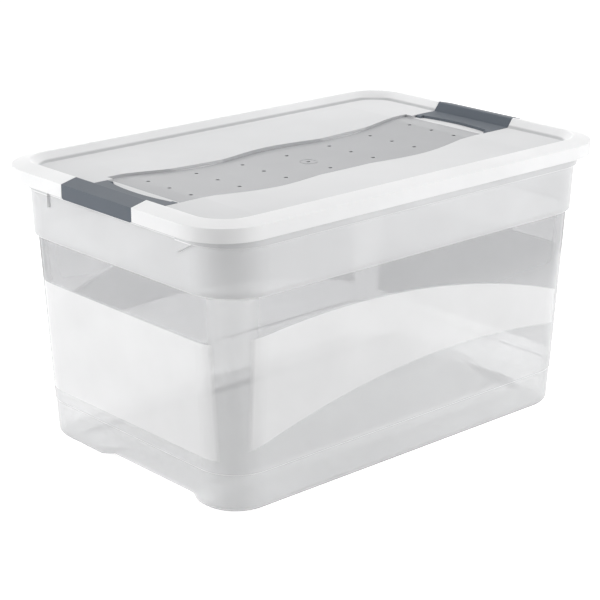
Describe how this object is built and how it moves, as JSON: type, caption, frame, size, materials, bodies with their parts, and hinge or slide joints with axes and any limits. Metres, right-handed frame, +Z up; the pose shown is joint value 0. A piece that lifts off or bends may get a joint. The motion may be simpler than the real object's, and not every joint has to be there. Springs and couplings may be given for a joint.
{
  "type": "lidded storage box",
  "caption": "Tapered clear storage box with a stepped upper band, a rimmed lid with a wavy centre channel, and hinged clips at both ends.",
  "frame": {"origin": "on the surface the box stands on, under the middle of the closed box", "axes": "+X along the box's length towards the right clip, +Y across its width, +Z up"},
  "size_m": [0.595, 0.395, 0.3266],
  "materials": {
    "clear_plastic": "clear glossy polypropylene, lightly frosted in the upper band",
    "frosted_plastic": "milky translucent polypropylene",
    "clip_plastic": "matt blue-grey moulded plastic"
  },
  "bodies": {
    "box": {"box_body": "clear_plastic"},
    "lid": {"lid": "frosted_plastic"},
    "left_clip": {"clip_left": "clip_plastic"},
    "right_clip": {"clip_right": "clip_plastic"}
  },
  "joints": [
    {"name": "lid_lift", "type": "slide", "parent": "box", "child": "lid", "axis": [0, 0, 1], "range_m": [0, 0.35]},
    {"name": "left_clip_hinge", "type": "hinge", "parent": "lid", "child": "left_clip", "pos_m": [-0.238, 0, 0.3134], "axis": [0, 1, 0], "range_deg": [0, 100]},
    {"name": "right_clip_hinge", "type": "hinge", "parent": "lid", "child": "right_clip", "pos_m": [0.238, 0, 0.3134], "axis": [0, -1, 0], "range_deg": [0, 100]}
  ]
}
